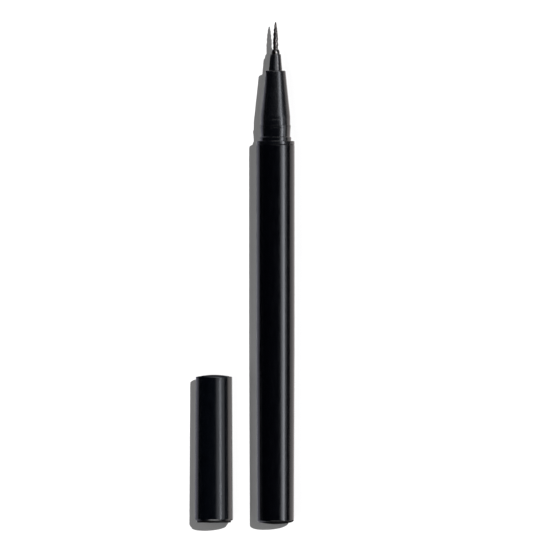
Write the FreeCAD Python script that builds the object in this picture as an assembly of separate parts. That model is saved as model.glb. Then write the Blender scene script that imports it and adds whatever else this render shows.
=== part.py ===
import FreeCAD, Part
import math
import os

Vector = FreeCAD.Vector

# All sizes are in millimetres. Stations run along the pen from the rim of its tail to the tip.

# Clearances
fit_gap = 0.02
slide_gap = 0.10
loose_gap = 0.10

# Barrel: a tube, straight behind the nose and drawn in slightly towards its tail
barrel_length = 98.74
barrel_straight_length = 50.0
barrel_front_diameter = 10.0
barrel_tail_draw = 0.18
barrel_wall = 0.9
barrel_tail_round = 0.45
seam_bevel = 0.12

# Tail plug: a hollow stopper with a low crown and two sealing lands
plug_depth = 6.0
plug_crown = 0.75
plug_floor = 1.3
plug_wall = 1.1
plug_land_length = 1.2
plug_relief = 0.15

# Nose: collar, two snap rings with a neck between them, and the grip cone
spigot_length = 12.0
spigot_land_length = 2.0
spigot_relief = 0.12
spigot_wall = 1.08
collar_length = 1.0
collar_round = 0.25
collar_step = 0.9
rear_ring_length = 1.1
rear_ring_bevel = 0.1
neck_depth = 0.21
neck_length = 2.36
neck_wall = 1.67
front_ring_drop = 0.07
front_ring_length = 1.25
front_ring_rise_length = 0.35
front_ring_round = 0.25
land_drop = 0.29
land_length = 1.55
cone_draw = 1.21
cone_length = 12.2
cone_front_round = 0.35

# Sleeve in the front of the cone
sleeve_length = 4.3
sleeve_wall = 0.3
sleeve_draw = 0.18
sleeve_front_bevel = 0.1
sleeve_shank_length = 6.0
sleeve_flange_length = 1.4

# Ferrule that grips the bristles
ferrule_wall = 0.45
ferrule_seat_length = 5.5
ferrule_lip_length = 0.4
ferrule_dome_length = 1.3
ferrule_dome_round = 0.9
ferrule_front_wall = 0.1
ferrule_flange_step = 0.2
ferrule_flange_length = 0.8

# Bristles: a round stem in the ferrule, then a lobed bundle that swells and runs to a point
brush_stem_diameter = 1.26
brush_belly_swell = 0.08
brush_length = 7.2
brush_lobe_count = 7
brush_lobe_depth = 0.09
brush_point_diameter = 0.16
brush_root_inset = 0.2
brush_root_length = 0.6

# Wick from the tank to the root of the bristles
wick_diameter = 1.3
wick_dip = 3.0
wick_end_bevel = 0.25

# Collector: a comb of thin fins round a core, with an ink channel above and an air slot below
collector_boss_length = 8.0
collector_core_wall = 1.33
collector_fin_clearance = 0.3
collector_fin_count = 12
collector_fin_thickness = 0.9
collector_fin_pitch = 2.3
collector_seal_length = 2.0
ink_channel_width = 0.35
air_slot_width = 1.0

# Ink tank, its stopper and the loose ball in it
tank_wall = 1.05
tank_floor = 1.2
tank_edge_bevel = 0.5
stopper_spigot_length = 5.0
stopper_flange_length = 1.2
ball_diameter = 3.2
ball_rest_distance = 7.0

# Inner cap: a cup that meets the cone where the cone is as wide as its bore
inner_cap_wall = 0.65
inner_cap_end = 0.8
inner_cap_flange_clearance = 0.21
inner_cap_flange_length = 1.0
inner_cap_travel = 1.2
inner_cap_over_travel = 0.3
inner_cap_lead_in = 0.2
tip_clearance = 1.2
spring_pilot_clearance = 0.2
spring_pilot_length = 0.8

# Spring between the inner cap and the closed end of the cap
spring_room = 5.3
spring_inset = 1.45
spring_wire = 0.4
spring_turns = 3.0

# Cap: flush with the collar at its mouth, drawn in towards its closed end
cap_top_draw = 0.22
cap_top_crown = 0.55
cap_top_round = 0.45
cap_end_wall = 0.8
cap_mouth_round = 0.45
cap_lead_in = 0.2
cap_ring_clearance = 0.06
cap_guide_step = 0.41
snap_bite = 0.06
snap_rib_length = 0.9
snap_flat_length = 0.3
stop_rib_bite = 0.12
stop_rib_length = 0.8

# How the cap lies beside the pen
cap_axis_distance = 16.15
cap_mouth_past_tail = 0.3

# Stations of the nose and tip, each from the one behind it
spigot_rear = barrel_length - spigot_length
collar_front = barrel_length + collar_length
rear_ring_front = collar_front + rear_ring_length
neck_front = rear_ring_front + neck_length
front_ring_front = neck_front + front_ring_length
land_front = front_ring_front + land_length
cone_front = land_front + cone_length
sleeve_front = cone_front + sleeve_length
ferrule_front = sleeve_front + ferrule_dome_length
brush_tip = ferrule_front + brush_length

# Stations inside the nose, from the tip backwards
sleeve_seat = cone_front - sleeve_shank_length
sleeve_rear = sleeve_seat - sleeve_flange_length
ferrule_seat = sleeve_front - ferrule_seat_length
ferrule_rear = ferrule_seat - ferrule_flange_length
brush_root_rear = ferrule_rear - brush_root_length

# Stations inside the barrel, from the nose backwards
collector_front = spigot_rear + collector_boss_length
comb_front = spigot_rear - loose_gap
comb_rear = comb_front - collector_fin_count * collector_fin_pitch
collector_rear = comb_rear - collector_seal_length
tank_rim = collector_rear - stopper_flange_length
stopper_rear = tank_rim - stopper_spigot_length
wick_rear = stopper_rear - wick_dip
tank_floor_top = plug_depth + tank_floor
ball_station = tank_floor_top + ball_rest_distance

# Radii of the barrel, from its outside inwards
barrel_radius = barrel_front_diameter / 2
barrel_tail_radius = barrel_radius - barrel_tail_draw
barrel_bore_radius = barrel_radius - barrel_wall
barrel_seat_radius = barrel_bore_radius - fit_gap
tank_radius = barrel_bore_radius - slide_gap
tank_bore_radius = tank_radius - tank_wall
collector_fin_radius = barrel_bore_radius - collector_fin_clearance
collector_boss_radius = barrel_seat_radius - spigot_wall - fit_gap

# Radii of the nose, each from the barrel or the rear ring
rear_ring_radius = barrel_radius - collar_step
neck_radius = rear_ring_radius - neck_depth
nose_chamber_radius = neck_radius - neck_wall
front_ring_radius = rear_ring_radius - front_ring_drop
land_radius = rear_ring_radius - land_drop
cone_front_radius = land_radius - cone_draw

# Radii of the tip, from the bristles outwards
brush_stem_radius = brush_stem_diameter / 2
ferrule_bore_radius = brush_stem_radius + fit_gap
ferrule_radius = ferrule_bore_radius + ferrule_wall
ferrule_flange_radius = ferrule_radius + ferrule_flange_step
sleeve_front_radius = ferrule_radius + fit_gap + sleeve_wall
sleeve_base_radius = sleeve_front_radius + sleeve_draw
sleeve_flange_radius = nose_chamber_radius - fit_gap
wick_bore_radius = wick_diameter / 2 + fit_gap
collector_core_radius = wick_bore_radius + collector_core_wall

# Radii of the cap, from the nose that it fits and then inwards
cap_mouth_radius = barrel_radius
cap_top_radius = cap_mouth_radius - cap_top_draw
cap_bore_radius = rear_ring_radius + cap_ring_clearance
cap_guide_radius = cap_bore_radius - cap_guide_step
inner_cap_radius = cap_guide_radius - slide_gap
inner_cap_bore_radius = inner_cap_radius - inner_cap_wall
inner_cap_flange_radius = cap_bore_radius - inner_cap_flange_clearance
spring_radius = inner_cap_radius - spring_inset
spring_pilot_radius = spring_radius - spring_wire - spring_pilot_clearance

# Distances inside the cap, from its mouth
seal_station = land_front + cone_length * (land_radius - inner_cap_bore_radius) / cone_draw
inner_cap_mouth = seal_station - collar_front - inner_cap_travel
inner_cap_depth = brush_tip - seal_station + tip_clearance
inner_cap_top = inner_cap_mouth + inner_cap_depth + inner_cap_end
flange_stop = inner_cap_mouth + inner_cap_flange_length + inner_cap_travel + inner_cap_over_travel
cap_inner_end = inner_cap_top + spring_room
cap_length = cap_inner_end + cap_end_wall + cap_top_crown
snap_rib_middle = rear_ring_length + neck_length / 2
stop_rib_front = inner_cap_mouth - loose_gap

# Where the two axes lie: both pieces rest on the ground, side by side
axis_height = barrel_radius
pen_axis_x = cap_axis_distance / 2
cap_axis_x = -cap_axis_distance / 2
middle_station = (brush_tip - plug_crown) / 2
cap_mouth_station = -cap_mouth_past_tail


def corner_arc(before, corner, after, rounding):
    """Ends and middle of the arc that rounds a corner, kept within its two edges."""
    to_before = before - corner
    to_after = after - corner
    half_angle = to_before.getAngle(to_after) / 2
    room = 0.9 * min(to_before.Length, to_after.Length)
    reach = min(rounding / math.tan(half_angle), room)
    radius = reach * math.tan(half_angle)
    first = to_before.normalize()
    last = to_after.normalize()
    inward = (first + last).normalize()
    middle = corner + inward * (radius / math.sin(half_angle) - radius)
    return corner + first * reach, middle, corner + last * reach


def turned(corners):
    """Solid turned about the Y axis from a half section.

    A corner is (radius, station), or (radius, station, rounding) where it is rounded.
    """
    points = [Vector(corner[0], corner[1], 0) for corner in corners]
    edges = []
    starts = []
    for index, corner in enumerate(corners):
        after = points[(index + 1) % len(points)]
        if len(corner) == 3:
            first, middle, last = corner_arc(points[index - 1], points[index], after, corner[2])
            starts.append((first, last))
            edges.append(Part.Arc(first, middle, last).toShape())
        else:
            starts.append((points[index], points[index]))
    for index in range(len(points)):
        leaving = starts[index][1]
        arriving = starts[(index + 1) % len(points)][0]
        edges.append(Part.LineSegment(leaving, arriving).toShape())
    outline = Part.Wire(Part.__sortEdges__(edges))
    return Part.Face(outline).revolve(Vector(0, 0, 0), Vector(0, 1, 0), 360)


def crowned(blank, rim_radius, rise, apex, inward):
    """Trim the end of a turned blank, which runs past the apex, to a low spherical crown."""
    sphere_radius = (rim_radius ** 2 + rise ** 2) / (2 * rise)
    sphere = Part.makeSphere(sphere_radius, Vector(0, apex + inward * sphere_radius, 0))
    return blank.common(sphere).Solids[0]


def lay_pen_piece(shape):
    """Move a piece from the station axis to where the pen lies."""
    shape.translate(Vector(pen_axis_x, -middle_station, axis_height))
    return shape


def lay_cap_piece(shape):
    """Move a piece measured from the mouth of the cap to where the cap lies."""
    shape.translate(Vector(cap_axis_x, cap_mouth_station - middle_station, axis_height))
    return shape


def barrel():
    return turned([
        (barrel_bore_radius, 0),
        (barrel_tail_radius, 0, barrel_tail_round),
        (barrel_radius, barrel_length - barrel_straight_length),
        (barrel_radius, barrel_length - seam_bevel),
        (barrel_radius - seam_bevel, barrel_length),
        (barrel_bore_radius, barrel_length),
    ])


def tail_plug():
    outer = barrel_seat_radius
    relieved = outer - plug_relief
    inner = outer - plug_wall
    blank = turned([
        (0, -2 * plug_crown),
        (outer, -2 * plug_crown),
        (outer, plug_land_length),
        (relieved, plug_land_length),
        (relieved, plug_depth - plug_land_length),
        (outer, plug_depth - plug_land_length),
        (outer, plug_depth),
        (inner, plug_depth),
        (inner, plug_floor),
        (0, plug_floor),
    ])
    return crowned(blank, outer, plug_crown, -plug_crown, 1)


def nose_section():
    spigot = barrel_seat_radius
    relieved = spigot - spigot_relief
    sleeve_bore = sleeve_base_radius + fit_gap
    collector_bore = collector_boss_radius + fit_gap
    return turned([
        (spigot, spigot_rear),
        (spigot, spigot_rear + spigot_land_length),
        (relieved, spigot_rear + spigot_land_length),
        (relieved, barrel_length - spigot_land_length),
        (spigot, barrel_length - spigot_land_length),
        (spigot, barrel_length),
        (barrel_radius - seam_bevel, barrel_length),
        (barrel_radius, barrel_length + seam_bevel),
        (barrel_radius, collar_front, collar_round),
        (rear_ring_radius, collar_front),
        (rear_ring_radius, rear_ring_front - rear_ring_bevel),
        (rear_ring_radius - rear_ring_bevel, rear_ring_front),
        (neck_radius, rear_ring_front),
        (neck_radius, neck_front),
        (front_ring_radius, neck_front + front_ring_rise_length, front_ring_round),
        (land_radius, front_ring_front),
        (land_radius, land_front),
        (cone_front_radius, cone_front, cone_front_round),
        (sleeve_bore, cone_front),
        (sleeve_bore, sleeve_seat),
        (nose_chamber_radius, sleeve_seat),
        (nose_chamber_radius, collector_front),
        (collector_bore, collector_front),
        (collector_bore, spigot_rear),
    ])


def tip_sleeve():
    ferrule_bore = ferrule_radius + fit_gap
    rear_bore = ferrule_flange_radius + fit_gap
    return turned([
        (rear_bore, sleeve_rear),
        (sleeve_flange_radius, sleeve_rear),
        (sleeve_flange_radius, sleeve_seat),
        (sleeve_base_radius, sleeve_seat),
        (sleeve_base_radius, cone_front),
        (sleeve_front_radius, sleeve_front - sleeve_front_bevel),
        (sleeve_front_radius - sleeve_front_bevel, sleeve_front),
        (ferrule_bore, sleeve_front),
        (ferrule_bore, ferrule_seat),
        (rear_bore, ferrule_seat),
    ])


def brush_ferrule():
    return turned([
        (ferrule_bore_radius, ferrule_rear),
        (ferrule_flange_radius, ferrule_rear),
        (ferrule_flange_radius, ferrule_seat),
        (ferrule_radius, ferrule_seat),
        (ferrule_radius, sleeve_front + ferrule_lip_length, ferrule_dome_round),
        (ferrule_bore_radius + ferrule_front_wall, ferrule_front),
        (ferrule_bore_radius, ferrule_front),
    ])


def lobed_ring(radius, station):
    """Closed ring of equal lobes, as the outline of a bundle of bristles has."""
    valley = radius * (1 - 2 * brush_lobe_depth)
    step = 2 * math.pi / brush_lobe_count

    def at(reach, angle):
        return Vector(reach * math.cos(angle), station, reach * math.sin(angle))

    arcs = []
    for lobe in range(brush_lobe_count):
        start = lobe * step
        arc = Part.Arc(at(valley, start), at(radius, start + step / 2), at(valley, start + step))
        arcs.append(arc.toShape())
    return Part.Wire(arcs)


def bundle_radius(share):
    """Radius of the bristle bundle at a share of its length.

    It swells from the stem to the belly over the first eighth, and then narrows ever faster,
    as one minus a power of the share, to the point.
    """
    point = brush_point_diameter / 2
    swell = brush_belly_swell * min(1, share / 0.125)
    narrowing = (1 - share ** 2.2) ** 0.75
    return point + (brush_stem_radius + swell - point) * narrowing


def brush_tuft():
    """Bristles from their fused root, through the ferrule, to the point."""
    shares = (0, 0.125, 0.4, 0.65, 0.85, 1)
    rings = [lobed_ring(brush_stem_radius, ferrule_rear)]
    for share in shares:
        rings.append(lobed_ring(bundle_radius(share), ferrule_front + share * brush_length))
    bundle = Part.makeLoft(rings, True, True)
    root_start = Vector(0, brush_root_rear, 0)
    root_radius = ferrule_flange_radius - brush_root_inset
    root = Part.makeCylinder(root_radius, brush_root_length, root_start, Vector(0, 1, 0))
    return root.fuse(bundle).Solids[0]


def feed_wick():
    radius = wick_diameter / 2
    return turned([
        (0, wick_rear),
        (radius - wick_end_bevel, wick_rear),
        (radius, wick_rear + wick_end_bevel),
        (radius, brush_root_rear - wick_end_bevel),
        (radius - wick_end_bevel, brush_root_rear),
        (0, brush_root_rear),
    ])


def ink_collector():
    core = collector_core_radius
    fin = collector_fin_radius
    corners = [
        (wick_bore_radius, collector_rear),
        (barrel_seat_radius, collector_rear),
        (barrel_seat_radius, comb_rear),
        (core, comb_rear),
    ]
    for index in range(collector_fin_count):
        fin_front = comb_rear + (index + 1) * collector_fin_pitch
        fin_rear = fin_front - collector_fin_thickness
        corners += [(core, fin_rear), (fin, fin_rear), (fin, fin_front), (core, fin_front)]
    corners += [
        (core, spigot_rear),
        (collector_boss_radius, spigot_rear),
        (collector_boss_radius, collector_front),
        (wick_bore_radius, collector_front),
    ]
    comb = turned(corners)
    comb_length = comb_front - comb_rear
    channel_corner = Vector(-ink_channel_width / 2, comb_rear, wick_bore_radius)
    channel = Part.makeBox(ink_channel_width, comb_length, fin, channel_corner)
    slot_corner = Vector(-air_slot_width / 2, comb_rear, -core - fin)
    slot = Part.makeBox(air_slot_width, comb_length, fin, slot_corner)
    return comb.cut(channel).cut(slot).Solids[0]


def tank_stopper():
    spigot = tank_bore_radius - fit_gap
    return turned([
        (wick_bore_radius, stopper_rear),
        (spigot - tank_edge_bevel, stopper_rear),
        (spigot, stopper_rear + tank_edge_bevel),
        (spigot, tank_rim),
        (tank_radius, tank_rim),
        (tank_radius, collector_rear),
        (wick_bore_radius, collector_rear),
    ])


def ink_tank():
    return turned([
        (0, plug_depth),
        (tank_radius - tank_edge_bevel, plug_depth),
        (tank_radius, plug_depth + tank_edge_bevel),
        (tank_radius, tank_rim),
        (tank_bore_radius, tank_rim),
        (tank_bore_radius, tank_floor_top),
        (0, tank_floor_top),
    ])


def mixing_ball():
    radius = ball_diameter / 2
    drop = tank_bore_radius - radius - loose_gap
    return Part.makeSphere(radius, Vector(0, ball_station, -drop))


def cap_shell():
    bore = cap_bore_radius
    snap = front_ring_radius - snap_bite
    stop = inner_cap_flange_radius - stop_rib_bite
    stop_rib_rear = stop_rib_front - stop_rib_length
    blank = turned([
        (bore + cap_lead_in, 0),
        (cap_mouth_radius, 0, cap_mouth_round),
        (cap_top_radius, cap_length),
        (cap_top_radius, cap_length + cap_top_crown),
        (0, cap_length + cap_top_crown),
        (0, cap_inner_end),
        (cap_guide_radius, cap_inner_end),
        (cap_guide_radius, flange_stop),
        (bore, flange_stop),
        (bore, stop_rib_front),
        (stop, stop_rib_front),
        (bore, stop_rib_rear),
        (bore, snap_rib_middle + snap_rib_length / 2),
        (snap, snap_rib_middle + snap_flat_length / 2),
        (snap, snap_rib_middle - snap_flat_length / 2),
        (bore, snap_rib_middle - snap_rib_length / 2),
        (bore, cap_lead_in),
    ])
    crowned_blank = crowned(blank, cap_top_radius, cap_top_crown, cap_length, -1)
    rim = [edge for edge in crowned_blank.Edges if is_top_rim(edge)]
    return crowned_blank.makeFillet(cap_top_round, rim).Solids[0]


def is_top_rim(edge):
    """Whether an edge is the circle between the side of the cap and its crown."""
    box = edge.BoundBox
    is_level = box.YLength < fit_gap
    return is_level and box.YMin > cap_inner_end and box.XLength > cap_top_radius


def inner_cap():
    flange_front = inner_cap_mouth + inner_cap_flange_length
    cup_floor = inner_cap_mouth + inner_cap_depth
    return turned([
        (inner_cap_bore_radius + inner_cap_lead_in, inner_cap_mouth),
        (inner_cap_flange_radius, inner_cap_mouth),
        (inner_cap_flange_radius, flange_front),
        (inner_cap_radius, flange_front),
        (inner_cap_radius, inner_cap_top),
        (spring_pilot_radius, inner_cap_top),
        (spring_pilot_radius, inner_cap_top + spring_pilot_length),
        (0, inner_cap_top + spring_pilot_length),
        (0, cup_floor),
        (inner_cap_bore_radius, cup_floor),
        (inner_cap_bore_radius, inner_cap_mouth + inner_cap_lead_in),
    ])


def biarc(start, start_way, end, end_way):
    """Two arcs in space that join two points along given directions and share a tangent."""
    chord = end - start
    ways = start_way + end_way
    spread = 2 * (1 - start_way.dot(end_way))
    along = chord.dot(ways)
    reach = (math.sqrt(along ** 2 + spread * chord.dot(chord)) - along) / spread
    first_corner = start + start_way * reach
    last_corner = end - end_way * reach
    joint = (first_corner + last_corner) / 2
    arcs = []
    for begin, corner, finish in ((start, first_corner, joint), (joint, last_corner, end)):
        weight = (finish - begin).Length / 2 / reach
        middle = (begin + corner * 2 * weight + finish) / (2 + 2 * weight)
        arcs.append(Part.Arc(begin, middle, finish).toShape())
    return arcs


def spring_line():
    """Points and directions of the spring's centre line at each quarter turn."""
    radius = spring_radius - spring_wire / 2
    rise = spring_room - spring_wire - 2 * fit_gap
    base = inner_cap_top + fit_gap + spring_wire / 2
    quarters = round(4 * spring_turns)
    climb = rise / (2 * math.pi * spring_turns)
    line = []
    for quarter in range(quarters + 1):
        angle = math.pi / 2 * quarter
        point = Vector(radius * math.cos(angle), base + climb * angle, radius * math.sin(angle))
        way = Vector(-radius * math.sin(angle), climb, radius * math.cos(angle)).normalize()
        line.append((point, way))
    return line


def cap_spring():
    line = spring_line()
    edges = []
    for (start, start_way), (end, end_way) in zip(line, line[1:]):
        edges += biarc(start, start_way, end, end_way)
    section = Part.Circle(line[0][0], line[0][1], spring_wire / 2)
    path = Part.Wire(edges)
    spring = path.makePipeShell([Part.Wire(section.toShape())], True, False)
    turn_gap = min((line[i + 4][0] - line[i][0]).Length for i in range(len(line) - 4)) - spring_wire
    print("least gap between turns of the spring: %.2f mm" % turn_gap)
    return spring.Solids[0]


def main():
    pen_makers = [barrel, tail_plug, nose_section, tip_sleeve, brush_ferrule, brush_tuft]
    pen_makers += [feed_wick, ink_collector, tank_stopper, ink_tank, mixing_ball]
    cap_makers = [cap_shell, inner_cap, cap_spring]
    pieces = {maker.__name__: lay_pen_piece(maker()) for maker in pen_makers}
    pieces.update({maker.__name__: lay_cap_piece(maker()) for maker in cap_makers})
    os.makedirs("parts", exist_ok=True)
    for name, shape in pieces.items():
        shape.exportStep(os.path.join("parts", name + ".step"))
    return pieces


main()
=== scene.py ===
import math

import bmesh
import bpy
import numpy as np
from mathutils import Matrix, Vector


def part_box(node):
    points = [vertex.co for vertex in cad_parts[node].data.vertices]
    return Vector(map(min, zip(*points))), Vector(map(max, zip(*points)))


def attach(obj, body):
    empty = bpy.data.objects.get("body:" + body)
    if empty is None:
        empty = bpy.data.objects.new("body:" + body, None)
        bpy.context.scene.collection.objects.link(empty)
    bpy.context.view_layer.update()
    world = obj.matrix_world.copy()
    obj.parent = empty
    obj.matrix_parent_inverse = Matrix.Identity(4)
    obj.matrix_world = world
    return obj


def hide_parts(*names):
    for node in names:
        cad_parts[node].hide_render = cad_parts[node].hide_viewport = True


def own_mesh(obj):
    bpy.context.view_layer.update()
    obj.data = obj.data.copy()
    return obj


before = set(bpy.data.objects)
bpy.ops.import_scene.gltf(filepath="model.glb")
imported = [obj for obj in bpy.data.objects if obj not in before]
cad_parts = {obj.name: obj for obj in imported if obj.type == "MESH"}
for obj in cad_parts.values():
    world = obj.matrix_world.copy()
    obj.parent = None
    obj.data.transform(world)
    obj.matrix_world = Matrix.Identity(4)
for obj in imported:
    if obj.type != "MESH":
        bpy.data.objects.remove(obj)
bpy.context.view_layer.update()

# Lengths are in millimetres until a mesh is made. Stations run along +Y, from the tail to the tip.
MM = 0.001
TURN_STEPS = 192
ARC_STEPS = 6
SUPPORT = 0.03


def box_mm(node):
    """Lowest and highest corner of a CAD node, in millimetres."""
    low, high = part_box(node)
    return np.array(low) / MM, np.array(high) / MM


def axis_mm(node):
    """Where the lengthwise axis of a turned CAD node lies: its x and z."""
    low, high = box_mm(node)
    middle = (low + high) / 2
    return np.array([middle[0], middle[2]])


pen_axis = axis_mm("barrel")
cap_axis = axis_mm("cap_shell")
tail_rim, seam = box_mm("barrel")[0][1], box_mm("barrel")[1][1]
tail_apex, plug_inner = box_mm("tail_plug")[0][1], box_mm("tail_plug")[1][1]
spigot_rear, cone_front = box_mm("nose_section")[0][1], box_mm("nose_section")[1][1]
sleeve_rear, sleeve_front = box_mm("tip_sleeve")[0][1], box_mm("tip_sleeve")[1][1]
ferrule_rear, ferrule_front = box_mm("brush_ferrule")[0][1], box_mm("brush_ferrule")[1][1]
brush_root, brush_tip = box_mm("brush_tuft")[0][1], box_mm("brush_tuft")[1][1]
cap_mouth, cap_apex = box_mm("cap_shell")[0][1], box_mm("cap_shell")[1][1]
cup_mouth, cup_pilot_top = box_mm("inner_cap")[0][1], box_mm("inner_cap")[1][1]
spring_low, spring_high = box_mm("cap_spring")
barrel_radius = (box_mm("barrel")[1][0] - box_mm("barrel")[0][0]) / 2
ferrule_radius = 1.10
stem_radius = 0.63
point_radius = 0.15
bore_radius = 4.10
spigot_radius = 4.08
tail_edge = tail_rim - 0.30
sleeve_seat = cone_front - 6.0
ferrule_seat = sleeve_front - 5.5
lip_step = cap_mouth + 0.55


def rounded(corners, closed=True):
    """Half section of a turned piece, with an arc at each corner.

    A corner is (radius, station, rounding). With d and e the unit vectors to the corners before and after
    it, and h half the angle between them, the arc starts rounding / tan(h) along d and ends as far along e.
    Its points blend its two end radii by sines, as on any circle. One more point on each edge, a little past
    the arc, keeps the flats flat when the mesh is shaded smooth. The ends of an open section stay sharp.
    """
    table = np.array(corners, float)
    point, rounding = table[:, :2], table[:, 2]
    before, after = np.roll(point, 1, 0) - point, np.roll(point, -1, 0) - point
    room_before = np.linalg.norm(before, axis=1, keepdims=True)
    room_after = np.linalg.norm(after, axis=1, keepdims=True)
    before, after = before / room_before, after / room_after
    half = np.arccos(np.clip((before * after).sum(1, keepdims=True), -1, 1)) / 2
    reach = np.minimum(rounding[:, None] / np.tan(half), 0.47 * np.minimum(room_before, room_after))
    inward = (before + after) / np.maximum(np.linalg.norm(before + after, axis=1, keepdims=True), 1e-12)
    centre = point + inward * reach / np.cos(half)
    start, end = point + before * reach, point + after * reach
    sweep = np.maximum(math.pi - 2 * half, 1e-6)
    share = np.linspace(0, 1, ARC_STEPS)
    from_start = (np.sin((1 - share) * sweep) / np.sin(sweep))[:, :, None]
    from_end = (np.sin(share * sweep) / np.sin(sweep))[:, :, None]
    arc = centre[:, None] + from_start * (start - centre)[:, None] + from_end * (end - centre)[:, None]
    lead_in = start + before * np.minimum(SUPPORT, 0.1 * room_before)
    lead_out = end + after * np.minimum(SUPPORT, 0.1 * room_after)
    section = np.concatenate([lead_in[:, None], arc, lead_out[:, None]], axis=1)
    if not closed:
        section[0], section[-1] = point[0], point[-1]
    section = section.reshape(-1, 2)
    moved = np.linalg.norm(np.diff(section, axis=0, prepend=section[:1] - 1), axis=1)
    return section[moved > 1e-5]


def crown(rim_radius, rim_station, apex_station, steps=12):
    """Corners along a low spherical crown, from the axis to just short of its rim.

    The sphere through the rim and the apex has radius (rim^2 + rise^2) / (2 rise), and the station falls
    away from the apex by that radius less the root of its square minus the square of the reach.
    """
    rise = abs(apex_station - rim_station)
    ball = (rim_radius ** 2 + rise ** 2) / (2 * rise)
    reach = rim_radius * np.linspace(0, 0.94, steps)
    fall = (ball - np.sqrt(ball ** 2 - reach ** 2)) * np.sign(rim_station - apex_station)
    return [(r, apex_station + f, 0.0) for r, f in zip(reach, fall)]


def turned(section, axis):
    """Grid of a half section carried round an axis along Y.

    The point at step i of the section and turn angle a is the axis plus radius i times (cos a, sin a), at
    station i.
    """
    angle = np.linspace(0, 2 * math.pi, TURN_STEPS, endpoint=False)
    radius, station = section[:, :1], section[:, 1:]
    x, z = axis[0] + radius * np.cos(angle), axis[1] + radius * np.sin(angle)
    return np.stack([x, np.broadcast_to(station, x.shape), z], axis=-1)[None]


def surface_piece(name, grid, body, material, wrap_along=False, wrap_around=True):
    """Piece made of one or more point grids, in millimetres, that rides a body.

    The grids have the shape (copies, steps along, steps around, 3). Neighbours on a grid share a face, the
    seams named as wrapped are closed, and points that fall together, as at a pole, become one.
    """
    copies, along, around = grid.shape[:3]
    index = np.arange(copies * along * around).reshape(copies, along, around)
    ahead = np.roll(index, -1, 1)
    corners = np.stack([index, ahead, np.roll(ahead, -1, 2), np.roll(index, -1, 2)], axis=-1)
    corners = corners[:, : along if wrap_along else along - 1, : around if wrap_around else around - 1]
    mesh = bpy.data.meshes.new(name)
    mesh.from_pydata((grid.reshape(-1, 3) * MM).tolist(), [], corners.reshape(-1, 4).tolist())
    shell = bmesh.new()
    shell.from_mesh(mesh)
    bmesh.ops.remove_doubles(shell, verts=shell.verts, dist=1e-8)
    bmesh.ops.recalc_face_normals(shell, faces=shell.faces)
    shell.to_mesh(mesh)
    shell.free()
    mesh.materials.append(material)
    mesh.polygons.foreach_set("use_smooth", np.ones(len(mesh.polygons), bool))
    piece = bpy.data.objects.new(name, mesh)
    bpy.context.scene.collection.objects.link(piece)
    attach(piece, body)
    return piece


# Finishes


def new_material(name):
    """New material, its nodes and its shader."""
    material = bpy.data.materials.new(name)
    material.use_nodes = True
    tree = material.node_tree
    return material, tree, tree.nodes["Principled BSDF"]


def set_input(material, name, value):
    """Sets one constant of the shader of a material."""
    material.node_tree.nodes["Principled BSDF"].inputs[name].default_value = value


def noise_on_object(tree, size, stretch=(1, 1, 1), detail=3.0):
    """Noise whose grains are about size millimetres across, stretched along the axes."""
    place = tree.nodes.new("ShaderNodeTexCoord")
    mapping = tree.nodes.new("ShaderNodeMapping")
    mapping.inputs["Scale"].default_value = [1 / s for s in stretch]
    noise = tree.nodes.new("ShaderNodeTexNoise")
    noise.inputs["Scale"].default_value = 1 / (size * MM)
    noise.inputs["Detail"].default_value = detail
    tree.links.new(place.outputs["Object"], mapping.inputs["Vector"])
    tree.links.new(mapping.outputs["Vector"], noise.inputs["Vector"])
    return noise.outputs["Fac"]


def between(tree, driver, low, high):
    """Value that runs from low to high over the middle of a noise."""
    spread = tree.nodes.new("ShaderNodeMapRange")
    for name, value in (("From Min", 0.3), ("From Max", 0.7), ("To Min", low), ("To Max", high)):
        spread.inputs[name].default_value = value
    tree.links.new(driver, spread.inputs["Value"])
    return spread.outputs["Result"]


def two_tones(tree, driver, low, high):
    """Colour that runs from low to high over the middle of a noise."""
    ramp = tree.nodes.new("ShaderNodeValToRGB")
    for element, place, colour in zip(ramp.color_ramp.elements, (0.3, 0.7), (low, high)):
        element.position = place
        element.color = (*colour, 1)
    tree.links.new(driver, ramp.inputs["Fac"])
    return ramp.outputs["Color"]


def relief(tree, shader, driver, height):
    """Bump of a height in millimetres."""
    bump = tree.nodes.new("ShaderNodeBump")
    bump.inputs["Strength"].default_value = 0.3
    bump.inputs["Distance"].default_value = height * MM
    tree.links.new(driver, bump.inputs["Height"])
    tree.links.new(bump.outputs["Normal"], shader.inputs["Normal"])


def moulded(name, dark, light, roughness, spread=0.03, grain=0.25, height=0.0004, stretch=(1, 1, 1)):
    """Moulded plastic: two close tones, a slightly uneven gloss and a fine skin."""
    material, tree, shader = new_material(name)
    tree.links.new(two_tones(tree, noise_on_object(tree, 1.6), dark, light), shader.inputs["Base Color"])
    cloud = noise_on_object(tree, 0.7, stretch=(1, 6, 1))
    tree.links.new(between(tree, cloud, roughness - spread, roughness + spread), shader.inputs["Roughness"])
    relief(tree, shader, noise_on_object(tree, grain, stretch), height)
    return material


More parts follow.
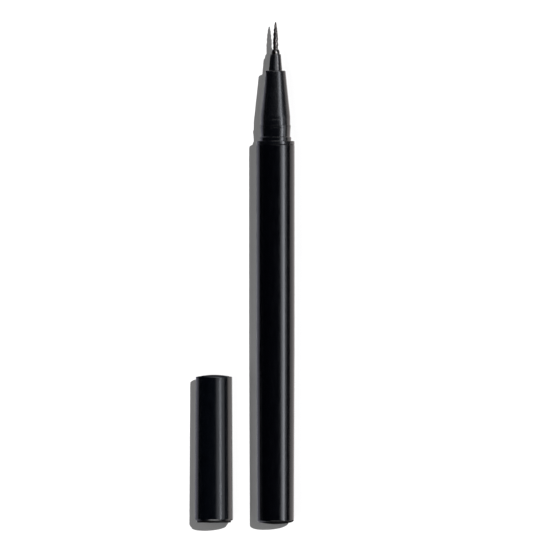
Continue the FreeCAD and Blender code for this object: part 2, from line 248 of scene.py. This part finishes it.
barrel_black = moulded("satin_black_barrel", (0.0003, 0.0004, 0.0012), (0.0007, 0.0009, 0.0020), 0.20)
nose_black = moulded("black_nose", (0.0012, 0.0014, 0.0024), (0.0026, 0.0030, 0.0044), 0.26)
ferrule_black = moulded("polished_black_ferrule", (0.0012, 0.0010, 0.0010), (0.0026, 0.0022, 0.0022), 0.14)
cap_black = moulded("satin_black_cap", (0.0004, 0.0008, 0.0018), (0.0010, 0.0016, 0.0030), 0.20)
cup_black = moulded("waxy_black_cup", (0.006, 0.006, 0.0065), (0.010, 0.010, 0.011), 0.45)
moulding_white = moulded("plain_white_moulding", (0.70, 0.70, 0.67), (0.78, 0.78, 0.75), 0.42)
ball_steel = moulded("polished_ball", (0.56, 0.56, 0.57), (0.62, 0.62, 0.62), 0.12, grain=0.5)
spring_steel = moulded("drawn_wire", (0.42, 0.42, 0.43), (0.55, 0.55, 0.55), 0.3, grain=0.08)
tank_milky = moulded("milky_tank", (0.58, 0.59, 0.56), (0.66, 0.67, 0.64), 0.4)
wick_black = moulded("soaked_wick", (0.008, 0.008, 0.008), (0.03, 0.03, 0.03), 0.6, grain=0.06, height=0.01)
bristle_dark = moulded(
    "wet_bristles", (0.002, 0.0014, 0.0014), (0.008, 0.0056, 0.0052), 0.16,
    grain=0.35, height=0.06, stretch=(1, 1.6, 1),
)
lip_black = moulded("matt_black_lip", (0.0010, 0.0010, 0.0012), (0.0020, 0.0020, 0.0024), 0.55)
set_input(lip_black, "Specular IOR Level", 0.15)


def grade_gloss(material, factor, from_station, to_station):
    """Lets the roughness of a finish grow or fall by a factor from one station to another along Y."""
    tree = material.node_tree
    shader = tree.nodes["Principled BSDF"]
    satin = shader.inputs["Roughness"].links[0].from_socket
    place, split = tree.nodes.new("ShaderNodeTexCoord"), tree.nodes.new("ShaderNodeSeparateXYZ")
    share, level = tree.nodes.new("ShaderNodeMapRange"), tree.nodes.new("ShaderNodeMath")
    values = (from_station * MM, to_station * MM, 1.0, factor)
    for name, value in zip(("From Min", "From Max", "To Min", "To Max"), values):
        share.inputs[name].default_value = value
    level.operation = "MULTIPLY"
    tree.links.new(place.outputs["Object"], split.inputs["Vector"])
    tree.links.new(split.outputs["Y"], share.inputs["Value"])
    tree.links.new(share.outputs["Result"], level.inputs[0])
    tree.links.new(satin, level.inputs[1])
    tree.links.new(level.outputs["Value"], shader.inputs["Roughness"])


grade_gloss(nose_black, 0.70, seam + 7.4, seam + 5.4)
grade_gloss(cap_black, 1.9, cap_apex - 0.7, cap_apex - 0.45)
grade_gloss(barrel_black, 2.0, tail_rim - 0.05, tail_rim - 0.25)
set_input(nose_black, "Specular IOR Level", 0.55)
for metal in (ball_steel, spring_steel):
    set_input(metal, "Metallic", 1.0)
set_input(tank_milky, "Transmission Weight", 0.35)


# Turned pieces of the pen

barrel_section = rounded([
    (bore_radius, tail_edge, 0.03),
    (4.42, tail_rim - 0.16, 0.30),
    (4.82, tail_rim + 0.16, 0.35),
    (barrel_radius, seam - 50.0, 3000.0),
    (barrel_radius, seam - 0.12, 0.06),
    (barrel_radius - 0.12, seam, 0.03),
    (bore_radius, seam, 0.03),
])
barrel_grid = turned(barrel_section, pen_axis)
barrel = surface_piece("barrel_tube", barrel_grid, "pen", barrel_black, True)
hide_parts("barrel")

plug_section = rounded(crown(spigot_radius, tail_edge, tail_apex) + [
    (spigot_radius, tail_edge, 0.04),
    (spigot_radius, plug_inner, 0.05),
    (2.98, plug_inner, 0.05),
    (2.98, tail_rim + 1.3, 0.2),
    (0.0, tail_rim + 1.3, 0.0),
], closed=False)
plug = surface_piece("tail_button", turned(plug_section, pen_axis), "pen", barrel_black)
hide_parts("tail_plug")

nose_section = rounded([
    (spigot_radius, spigot_rear, 0.08),
    (spigot_radius, seam, 0.02),
    (barrel_radius - 0.12, seam, 0.03),
    (barrel_radius, seam + 0.12, 0.06),
    (barrel_radius - 0.05, seam + 1.0, 0.12),
    (4.10, seam + 1.0, 0.06),
    (4.10, seam + 1.95, 0.06),
    (3.95, seam + 2.1, 0.06),
    (3.83, seam + 2.1, 0.04),
    (3.95, seam + 4.46, 0.03),
    (4.00, seam + 4.54, 0.03),
    (4.02, seam + 5.10, 0.04),
    (3.86, seam + 5.16, 0.03),
    (3.85, seam + 6.50, 0.02),
    (3.84, seam + 6.53, 0.01),
    (3.84, seam + 6.60, 0.01),
    (3.85, seam + 6.63, 0.02),
    (3.83, seam + 7.50, 8.0),
    (2.60, cone_front, 0.35),
    (1.76, cone_front, 0.05),
    (1.76, sleeve_seat, 0.02),
    (2.22, sleeve_seat, 0.02),
    (2.22, spigot_rear + 8.0, 0.02),
    (3.00, spigot_rear + 8.0, 0.02),
    (3.00, spigot_rear, 0.08),
])
nose = surface_piece("nose_cone", turned(nose_section, pen_axis), "pen", nose_black, True)
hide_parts("nose_section")

sleeve_section = rounded([
    (1.32, sleeve_rear, 0.05),
    (2.20, sleeve_rear, 0.08),
    (2.20, sleeve_seat, 0.05),
    (1.74, sleeve_seat, 0.02),
    (1.74, cone_front, 6.0),
    (1.38, sleeve_front, 0.10),
    (1.12, sleeve_front, 0.03),
    (1.12, ferrule_seat, 0.02),
    (1.32, ferrule_seat, 0.02),
])
sleeve = surface_piece("tip_tube", turned(sleeve_section, pen_axis), "pen", nose_black, True)
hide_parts("tip_sleeve")


def dome(wide, narrow, rear, front, steps=10):
    """Corners along a quarter of an ellipse, from a wide radius at the rear to a narrow one in front."""
    turn = np.linspace(0, math.pi / 2, steps)
    radius, station = narrow + (wide - narrow) * np.cos(turn), rear + (front - rear) * np.sin(turn)
    return [(r, y, 0.0) for r, y in zip(radius, station)]


ferrule_section = rounded([
    (0.65, ferrule_rear, 0.03),
    (1.30, ferrule_rear, 0.05),
    (1.30, ferrule_seat, 0.03),
    (ferrule_radius, ferrule_seat, 0.02),
    *dome(ferrule_radius, 0.68, sleeve_front + 0.2, ferrule_front),
    (0.65, ferrule_front, 0.02),
])
ferrule_grid = turned(ferrule_section, pen_axis)
ferrule = surface_piece("bristle_ferrule", ferrule_grid, "pen", ferrule_black, True)
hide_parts("brush_ferrule")


# Bristles


def bundle_radius(share):
    """Radius of the bristle bundle at a share of its length.

    It swells from the stem over the first eighth, then narrows by a power of the share to a fine point.
    """
    forward = np.clip(share, 0, 1)
    swell = 0.07 * np.clip(share / 0.125, 0, 1)
    return point_radius + (stem_radius + swell - point_radius) * (1 - forward ** 2.4)


def bristle_grid(count=110, along=16, around=5, seed=11):
    """Tapered tubes, one for each bristle.

    Bristle i starts at the distance root(i / count) and the angle i times the golden angle. At a share of
    the length it keeps its part of the bundle's radius, turns slowly and waves a little, and it ends the
    sooner the further out it starts. Round its line runs a small circle that narrows to its tip.
    """
    chance = np.random.default_rng(seed)
    order = np.arange(count)
    part = np.sqrt((order + 0.5) / count)
    turn = order * math.pi * (3 - math.sqrt(5))
    reach = np.clip(1 - 0.25 * part ** 2 + chance.normal(0, 0.03, count), 0.3, 1.0)
    step = np.linspace(0, 1, along)
    share = -0.05 + (reach[:, None] + 0.05) * step
    wave = 0.10 * np.sin(chance.uniform(4, 9, (count, 1)) * share + chance.uniform(0, 6.3, (count, 1)))
    angle = turn[:, None] + chance.normal(0, 0.35, (count, 1)) * share + 0.6 * wave
    radius = 0.74 * part[:, None] * bundle_radius(share) * (1 + 0.4 * wave)
    thick = 0.028 * (1 - step ** 4) ** 0.6 + 0.012
    ring = np.linspace(0, 2 * math.pi, around, endpoint=False)
    x = pen_axis[0] + (radius * np.cos(angle))[:, :, None] + thick[None, :, None] * np.cos(ring)
    z = pen_axis[1] + (radius * np.sin(angle))[:, :, None] + thick[None, :, None] * np.sin(ring)
    y = np.broadcast_to((ferrule_front + share * (brush_tip - ferrule_front))[:, :, None], x.shape)
    return np.stack([x, y, z], axis=-1)


def core_grid(along=200, around=160):
    """Wet bundle: the fused root, the stem in the ferrule and the bristles drawn together by the liquid.

    The radius at a station is that of the root, the stem or the bundle. Past the ferrule it is multiplied by
    0.99 times one plus a sum of cosines of the turn angle and the share of the length, which sets in over
    the first twentieth, so the surface has strands that wind, part and knot.
    """
    share = np.linspace(0, 0.99, along)
    behind = np.array([(0.0, brush_root), (1.10, brush_root), (1.10, ferrule_rear), (0.6, ferrule_rear)])
    front = np.stack([bundle_radius(share), ferrule_front + share * (brush_tip - ferrule_front)], axis=-1)
    section = np.concatenate([behind, front, [(0.0, brush_tip - 0.05)]])
    angle = np.linspace(0, 2 * math.pi, around, endpoint=False)
    length = np.concatenate([np.zeros(4), share, [1.0]])[:, None]
    strands = 0.065 * np.cos(angle + 31 * length + 1.6 * np.sin(9 * length))
    strands = strands + 0.055 * np.cos(2 * angle - 37 * length + 1.0)
    strands = strands + 0.012 * np.cos(7 * angle + 7 * length)
    strands = strands + 0.003 * np.cos(23 * angle - 15 * length + 2.0)
    swell = 0.99 * (1 + strands * np.clip(length / 0.05, 0, 1)) + 0.01 * (length == 0)
    radius = section[:, :1] * swell
    x, z = pen_axis[0] + radius * np.cos(angle), pen_axis[1] + radius * np.sin(angle)
    return np.stack([x, np.broadcast_to(section[:, 1:], x.shape), z], axis=-1)[None]


bristles = surface_piece("bristles", bristle_grid(), "pen", bristle_dark)
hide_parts("brush_tuft")
wet_core = surface_piece("wet_core", core_grid(), "pen", bristle_dark)


# The cap, its sprung cup and its spring

cup_floor, cup_top = cup_pilot_top - 1.6, cup_pilot_top - 0.8
cap_end = cup_top + 5.3
cap_section = rounded(crown(4.78, cap_apex - 0.55, cap_apex) + [
    (4.78, cap_apex - 0.55, 0.35),
    (barrel_radius, cap_mouth + 0.90, 0.10),
    (4.80, lip_step, 0.05),
    (4.45, lip_step, 0.03),
    (4.45, cap_mouth, 0.14),
    (4.22, cap_mouth, 0.03),
    (4.16, cap_mouth + 0.06, 0.02),
    (4.16, cap_mouth + 1.83, 0.05),
    (3.97, cap_mouth + 2.13, 0.10),
    (3.97, cap_mouth + 2.43, 0.10),
    (4.16, cap_mouth + 2.73, 0.05),
    (4.16, cup_mouth - 0.9, 0.05),
    (3.83, cup_mouth - 0.1, 0.05),
    (4.16, cup_mouth - 0.1, 0.02),
    (4.16, cup_mouth + 2.5, 0.02),
    (3.75, cup_mouth + 2.5, 0.05),
    (3.75, cap_end, 0.30),
    (0.0, cap_end, 0.0),
], closed=False)
cap = surface_piece("cap_outer", turned(cap_section, cap_axis), "cap", cap_black)
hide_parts("cap_shell")

# The faces of the lip at the mouth take the matt finish.
cap.data.materials.append(lip_black)
face_middles = np.empty(3 * len(cap.data.polygons), np.float32)
cap.data.polygons.foreach_get("center", face_middles)
on_lip = face_middles[1::3] < (lip_step - 0.01) * MM
cap.data.polygons.foreach_set("material_index", on_lip.astype(np.int32))

cup_section = rounded([
    (0.0, cup_floor, 0.0),
    (3.00, cup_floor, 0.40),
    (3.00, cup_mouth + 0.2, 0.05),
    (3.20, cup_mouth, 0.05),
    (3.95, cup_mouth, 0.10),
    (3.95, cup_mouth + 1.0, 0.10),
    (3.65, cup_mouth + 1.0, 0.05),
    (3.65, cup_top, 0.25),
    (1.60, cup_top, 0.05),
    (1.60, cup_pilot_top, 0.15),
    (0.0, cup_pilot_top, 0.0),
], closed=False)
cup = surface_piece("seal_cup", turned(cup_section, cap_axis), "seal_cup", cup_black)
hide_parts("inner_cap")


def coil_grid(turns=3.0, wire=0.2, along=240, around=12):
    """Wire along a helix about the axis of the cap.

    The line turns at an even pitch between the ends of the spring. The circle round it lies across the line,
    spanned by the direction away from the axis and the one square to that and to the line, and it closes to
    a point at both ends.
    """
    angle = np.linspace(0, 2 * math.pi * turns, along)
    coil = (spring_high[0] - spring_low[0]) / 2 - wire
    climb = (spring_high[1] - spring_low[1] - 2 * wire) / (2 * math.pi * turns)
    out = np.stack([np.cos(angle), np.zeros(along), np.sin(angle)], axis=-1)
    way = np.stack([-coil * np.sin(angle), np.full(along, climb), coil * np.cos(angle)], axis=-1)
    side = np.cross(way / np.linalg.norm(way, axis=1, keepdims=True), out)
    middle = np.array([cap_axis[0], spring_low[1] + wire, cap_axis[1]])
    line = middle + coil * out + np.stack([0 * angle, climb * angle, 0 * angle], axis=-1)
    thick = wire * np.r_[0, np.ones(along - 2), 0][:, None, None]
    ring = np.linspace(0, 2 * math.pi, around, endpoint=False)[None, :, None]
    return (line[:, None] + thick * (np.cos(ring) * out[:, None] + np.sin(ring) * side[:, None]))[None]


spring = surface_piece("cup_spring", coil_grid(), "cap", spring_steel)
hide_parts("cap_spring")
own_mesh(spring)

# Finishes of the hidden CAD nodes
hidden_finishes = {
    "feed_wick": wick_black,
    "ink_collector": moulding_white,
    "tank_stopper": moulding_white,
    "ink_tank": tank_milky,
    "mixing_ball": ball_steel,
}
for node_name, finish in hidden_finishes.items():
    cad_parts[node_name].data.materials.clear()
    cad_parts[node_name].data.materials.append(finish)


# Floor, cards, lights, world and camera

FLOOR_REACH = 3000
FLOOR_LEVEL = -0.01
FLOOR_JOIN = -0.5
CARD_REACH = 1500
COOL_WHITE = (0.92, 0.955, 1.03)
WARM_WHITE = (1.0, 0.86, 0.84)
KEY_ON_FLOOR = 3.368
KEY_ANGLE = math.radians(0.6)


def stage_piece(name, corners, faces, material):
    """Piece of the stage, from corners in millimetres."""
    mesh = bpy.data.meshes.new(name)
    mesh.from_pydata((np.array(corners, float) * MM).tolist(), [], faces)
    mesh.materials.append(material)
    piece = bpy.data.objects.new(name, mesh)
    bpy.context.scene.collection.objects.link(piece)
    return piece


def sheet_on_floor(name, left, right, rear, front, height, material):
    """Level rectangle, in millimetres."""
    ends = [(left, rear, height), (right, rear, height), (right, front, height), (left, front, height)]
    return stage_piece(name, ends, [(0, 1, 2, 3)], material)


def half_floor(name, left, right):
    """One of the two halves of the floor, which meet between the cap and the pen."""
    return sheet_on_floor(name, left, right, -FLOOR_REACH, FLOOR_REACH, FLOOR_LEVEL, floor_white)


floor_white, floor_tree, floor_shader = new_material("white_floor")
floor_tones = two_tones(floor_tree, noise_on_object(floor_tree, 40.0), (0.89, 0.89, 0.89), (0.9, 0.9, 0.9))
floor_tree.links.new(floor_tones, floor_shader.inputs["Base Color"])
set_input(floor_white, "Roughness", 1.0)
set_input(floor_white, "Specular IOR Level", 0.0)
floor_under_pen = half_floor("floor_right", FLOOR_JOIN, FLOOR_REACH)
floor_under_cap = half_floor("floor_left", -FLOOR_REACH, FLOOR_JOIN)


def only_in_gloss(card):
    """Leaves a card to the reflections alone."""
    card.visible_camera = False
    card.visible_diffuse = False
    card.visible_shadow = False
    card.visible_transmission = False


def card_material(name, colour):
    """Dull card of one colour, for the stage."""
    material = new_material(name)[0]
    set_input(material, "Base Color", (*colour, 1))
    set_input(material, "Specular IOR Level", 0.0)
    return material


card_black = card_material("black_card", (0.0, 0.0, 0.0))
card_cool = card_material("cool_grey_card", (0.39, 0.39, 0.47))
card_warm = card_material("warm_white_card", (0.95, 0.89, 0.88))
pen_cards = [
    sheet_on_floor("card_right_of_pen", 13.5, 62, -CARD_REACH, CARD_REACH, 0.01, card_warm),
    sheet_on_floor("card_left_of_pen", -12.0, 2.6, cap_apex, CARD_REACH, 0.01, card_cool),
]
cap_cards = [sheet_on_floor("card_left_of_cap", -30.0, -13.5, -CARD_REACH, cap_apex, 0.01, card_cool)]
cards = pen_cards + cap_cards + [
    sheet_on_floor("card_right", 62, CARD_REACH, -CARD_REACH, CARD_REACH, 0.02, card_black),
    sheet_on_floor("card_left_front", -CARD_REACH, -12.0, cap_apex, CARD_REACH, 0.02, card_black),
    sheet_on_floor("card_left_rear", -CARD_REACH, -30.0, -CARD_REACH, cap_apex, 0.02, card_black),
    sheet_on_floor("card_ahead_of_cap", -13.0, -3.0, -27.3, -21.0, 0.03, card_black),
    sheet_on_floor("card_behind_pen", -4.0, 20.0, -300.0, -65.3, 0.03, card_black),
    sheet_on_floor("card_left_of_sleeve", -12.0, 7.0, 53.2, 57.6, 0.03, card_black),
]


def glow_material(name, colour):
    """Glows from the front of a face and lets light through from behind."""
    material, tree, shader = new_material(name)
    glow, clear = tree.nodes.new("ShaderNodeEmission"), tree.nodes.new("ShaderNodeBsdfTransparent")
    glow.inputs["Color"].default_value = (*colour, 1)
    sides, choice = tree.nodes.new("ShaderNodeNewGeometry"), tree.nodes.new("ShaderNodeMixShader")
    tree.links.new(sides.outputs["Backfacing"], choice.inputs["Fac"])
    tree.links.new(glow.outputs["Emission"], choice.inputs[1])
    tree.links.new(clear.outputs["BSDF"], choice.inputs[2])
    tree.links.new(choice.outputs["Shader"], tree.nodes["Material Output"].inputs["Surface"])
    tree.nodes.remove(shader)
    return material


def standing_card(name, place, facing, high, colour, lean=0, rear=-72, front=-20):
    """Upright card along Y that glows to one side, -X or +X, and lets light through from the other.

    Its front edge slopes down by a lean, so that it fades out along a turned piece.
    """
    ends = [(place, rear, 0), (place, rear, high), (place, front, high), (place, front + lean, 0)]
    return stage_piece(name, ends[::-facing], [(0, 1, 2, 3)], glow_material(name, colour))


cards.append(standing_card("card_right_of_cap", 2.9, -1, 7.3, (1.42, 1.33, 1.31)))
cards.append(standing_card("card_between", 2.7, 1, 6.95, (0.44, 0.44, 0.53), lean=60))


def flag_tunnel(radius=8000, length=4000, steps=48):
    """Half of a tube along Y over the stage, closed at its ends.

    The point at angle a lies at the radius times (cos a, sin a).
    """
    angle = np.linspace(0, math.pi, steps)
    x, y = np.meshgrid(radius * np.cos(angle), [-length, length])
    z = np.broadcast_to(radius * np.sin(angle), x.shape)
    index = np.arange(steps - 1)
    sides = np.stack([index, index + 1, index + 1 + steps, index + steps], axis=-1)
    ends = np.arange(2 * steps).reshape(2, steps)
    corners = np.stack([x, y, z], axis=-1).reshape(-1, 3)
    return stage_piece("flag_tunnel", corners, sides.tolist() + ends.tolist(), card_black)


for card in cards + [flag_tunnel()]:
    only_in_gloss(card)


def add_light(name, kind, place, turn, **settings):
    """Light at a place in metres, turned by three angles in radians from facing straight down."""
    light = bpy.data.lights.new(name, kind)
    for setting, value in settings.items():
        setattr(light, setting, value)
    lamp = bpy.data.objects.new(name, light)
    lamp.location = place
    lamp.rotation_euler = turn
    lamp.visible_camera = False
    bpy.context.scene.collection.objects.link(lamp)
    return lamp


def aim(direction):
    """Angles that turn a light from facing straight down to facing along a direction."""
    return Vector(direction).to_track_quat("-Z", "Y").to_euler()


def light_only(lamp, pieces):
    """Lets a light reach some pieces alone, with nothing else in its way."""
    group = bpy.data.collections.new(lamp.name + "_pieces")
    for piece in pieces:
        group.objects.link(piece)
    lamp.light_linking.receiver_collection = group
    lamp.light_linking.blocker_collection = group


tip_pieces = [sleeve, ferrule, bristles, wet_core]
pen_pieces = [barrel, plug, nose] + tip_pieces
cap_pieces = [cap, cup, spring]


def key_light(name, slope, pieces):
    """Small far light that falls by a slope in x and y for each unit down, of one strength on the floor."""
    way = (*slope, -1.0)
    strength = KEY_ON_FLOOR * math.hypot(*way)
    lamp = add_light(name, "SUN", (0, 0, 1), aim(way), energy=strength, angle=KEY_ANGLE)
    lamp.visible_glossy = False
    light_only(lamp, pieces)


key_light("pen_key", (-0.335, -0.23), pen_pieces + pen_cards + [floor_under_pen])
key_light("cap_key", (-0.265, -0.25), cap_pieces + cap_cards + [floor_under_cap])
fill_turn = aim((0.5, 0.2, -0.9))
fill = add_light("fill", "AREA", (-0.5, -0.2, 0.9), fill_turn, energy=2.5, shape="SQUARE", size=0.6)
fill.visible_glossy = False


def gloss_light(name, place, turn, wide, tall, radiance, pieces, tint=(1.0, 1.0, 1.0)):
    """Rectangle of one radiance, in metres, that shows in the gloss of some pieces alone."""
    lamp = add_light(
        name, "AREA", place, turn, energy=radiance * math.pi * wide * tall,
        shape="RECTANGLE", size=wide, size_y=tall, color=tint,
    )
    lamp.visible_diffuse = False
    light_only(lamp, pieces)


# The softboxes hang level, 2.5 m up. Their long sides run from the right rear to the left front.
SOFTBOX_HEIGHT = 2.5
SOFTBOX_REACH = (-2.2, 0.5)
across = np.array([0.781, 0.625])
along_box = np.array([-0.625, 0.781])
box_turn = (0, 0, math.atan2(along_box[1], along_box[0]))


def softbox(name, near, far, radiance, pieces):
    """Long level light between two slopes from the zenith."""
    middle = across * (near + far) / 2 + along_box * (SOFTBOX_REACH[0] + SOFTBOX_REACH[1]) / 2
    place = (*(middle * SOFTBOX_HEIGHT), SOFTBOX_HEIGHT)
    wide, deep = (SOFTBOX_REACH[1] - SOFTBOX_REACH[0]) * SOFTBOX_HEIGHT, (far - near) * SOFTBOX_HEIGHT
    gloss_light(name, place, box_turn, wide, deep, radiance, pieces, COOL_WHITE)


softbox("pen_softbox", 0.78, 1.22, 7.0, pen_pieces)
softbox("barrel_softbox_edge", 0.50, 0.78, 2.3, [barrel, plug] + tip_pieces)
softbox("nose_softbox_edge", 0.50, 0.78, 1.4, [nose])
softbox("barrel_softbox_spill", 1.22, 3.0, 0.88, [barrel, plug])
softbox("nose_softbox_spill", 1.22, 2.1, 0.3, [nose] + tip_pieces)
softbox("sleeve_softbox_edge", 0.02, 0.45, 1.75, [sleeve])
softbox("cap_softbox", 0.55, 0.78, 4.6, cap_pieces)
softbox("cap_softbox_edge", 0.20, 1.95, 1.05, cap_pieces)

# The glint stands on the dome of the ferrule.
glint_place, glint_turn = (0.67, 0.49, 2.0), aim((-0.335, -0.245, -1))
gloss_light("glint", glint_place, glint_turn, 0.8, 0.8, 24.0, [ferrule], (1.0, 0.92, 0.91))

# Low on the right and towards the rear, where the flare of the neck looks and the cone does not.
gloss_light("neck_softbox", (3.0, -0.60, 1.15), aim((-1, 0, 0)), 1.4, 1.5, 1.8, [nose], COOL_WHITE)

# Over the right of the tip, for the round of its small pieces.
tip_place, tip_turn = (1.25, 0.15, 1.7), aim((-1.25, -0.1, -1.7))
gloss_light("bristle_softbox", tip_place, tip_turn, 1.5, 1.0, 14.0, [bristles, wet_core], WARM_WHITE)
gloss_light("sleeve_softbox", tip_place, tip_turn, 1.5, 1.0, 1.6, [sleeve], WARM_WHITE)


def end_softbox(name, side, left, right, low, high, radiance, pieces):
    """Upright light 3 m beyond one end of the stage, for the edges and faces that look that way."""
    place = ((left + right) / 2, side * 3.0, (low + high) / 2)
    gloss_light(name, place, aim((0, -side, 0)), right - left, high - low, radiance, pieces)


end_softbox("front_softbox", 1, -0.7, 1.3, 1.35, 2.5, 1.2, pen_pieces)
end_softbox("rear_softbox", -1, -0.7, 1.3, 1.35, 2.5, 0.5, pen_pieces)
end_softbox("cap_front_softbox", 1, -0.7, 1.3, 1.35, 2.5, 3.0, cap_pieces)
end_softbox("cap_rear_softbox", -1, -1.6, 4.2, 1.35, 2.5, 4.5, cap_pieces)
end_softbox("front_glow", 1, -1.5, 1.5, 0.2, 1.35, 0.3, pen_pieces + cap_pieces)
end_softbox("rear_glow", -1, -1.5, 1.5, 0.2, 1.35, 0.3, pen_pieces + cap_pieces)

# Wide lights high over both ends of the stage show the round of the pieces from the sides.
for form_name, side in (("form_softbox_front", 1), ("form_softbox_rear", -1)):
    form_turn = aim((0, -side * 2.1, -2.7))
    gloss_light(form_name, (0, side * 2.1, 2.7), form_turn, 3.0, 1.2, 2.2, pen_pieces + cap_pieces)

# A white world, which hardly lights dull surfaces.
WORLD_ON_DULL = 0.012
world = bpy.data.worlds.new("studio")
world.use_nodes = True
bpy.context.scene.world = world
air = world.node_tree
path = air.nodes.new("ShaderNodeLightPath")
level = air.nodes.new("ShaderNodeMath")
level.operation = "MULTIPLY_ADD"
level.inputs[1].default_value = WORLD_ON_DULL - 1.0
level.inputs[2].default_value = 1.0
air.links.new(path.outputs["Is Diffuse Ray"], level.inputs[0])
air.nodes["Background"].inputs["Color"].default_value = (1, 1, 1, 1)
air.links.new(level.outputs["Value"], air.nodes["Background"].inputs["Strength"])

lens = bpy.data.cameras.new("camera")
lens.lens = 772.5
lens.sensor_width = 36.0
lens.clip_end = 10.0
camera = bpy.data.objects.new("camera", lens)
camera.location = (0.0057, 0.0017, 3.005)
bpy.context.scene.collection.objects.link(camera)
bpy.context.scene.camera = camera
bpy.context.scene.view_settings.view_transform = "Standard"
